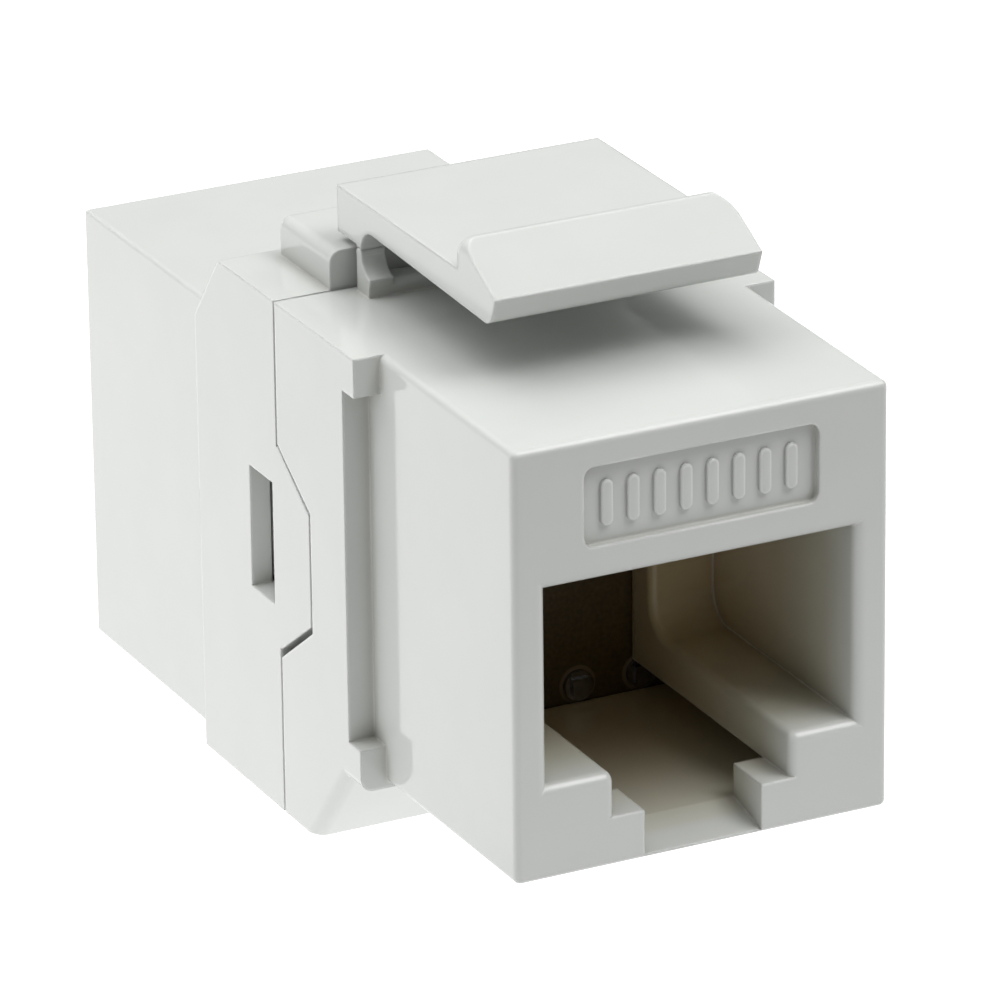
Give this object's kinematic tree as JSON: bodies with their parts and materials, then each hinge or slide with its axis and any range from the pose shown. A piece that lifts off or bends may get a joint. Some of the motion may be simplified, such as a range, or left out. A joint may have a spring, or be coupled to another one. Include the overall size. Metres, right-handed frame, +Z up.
{
  "type": "keystone coupler",
  "caption": "Keystone coupler: two snapped plastic housings with a modular port at each end, a panel hook below, a sprung latch above, and spring contacts linked through inner boards.",
  "frame": {"origin": "middle of the underside, on the mirror plane, halfway between the front face and the rear face", "axes": "+X to the right seen from the front, +Y from the front port to the rear port, +Z up towards the latch"},
  "size_m": [0.0166, 0.036, 0.0247],
  "materials": {
    "housing_plastic": "moulded, smooth gloss",
    "board": "satin lacquer",
    "inner_plastic": "fine matte",
    "contact_metal": "gold plated",
    "pin_metal": "tinned"
  },
  "bodies": {
    "housing": {"front_housing": "housing_plastic", "rear_housing": "housing_plastic", "front_board": "board", "rear_board": "board", "front_contact_carrier": "inner_plastic", "rear_contact_carrier": "inner_plastic", "link_header": "inner_plastic", "front_contact_1": "contact_metal", "front_contact_2": "contact_metal", "front_contact_3": "contact_metal", "front_contact_4": "contact_metal", "front_contact_5": "contact_metal", "front_contact_6": "contact_metal", "front_contact_7": "contact_metal", "front_contact_8": "contact_metal", "rear_contact_1": "contact_metal", "rear_contact_2": "contact_metal", "rear_contact_3": "contact_metal", "rear_contact_4": "contact_metal", "rear_contact_5": "contact_metal", "rear_contact_6": "contact_metal", "rear_contact_7": "contact_metal", "rear_contact_8": "contact_metal", "link_pin_1": "pin_metal", "link_pin_2": "pin_metal", "link_pin_3": "pin_metal", "link_pin_4": "pin_metal", "link_pin_5": "pin_metal", "link_pin_6": "pin_metal", "link_pin_7": "pin_metal", "link_pin_8": "pin_metal"},
    "latch": {"latch_arm": "housing_plastic"}
  },
  "joints": [
    {"name": "latch_flex", "type": "hinge", "parent": "housing", "child": "latch", "pos_m": [0, -0.0018, 0.02148], "axis": [1, 0, 0], "range_deg": [0, 11], "stiffness_Nm_per_rad": 0.1}
  ]
}
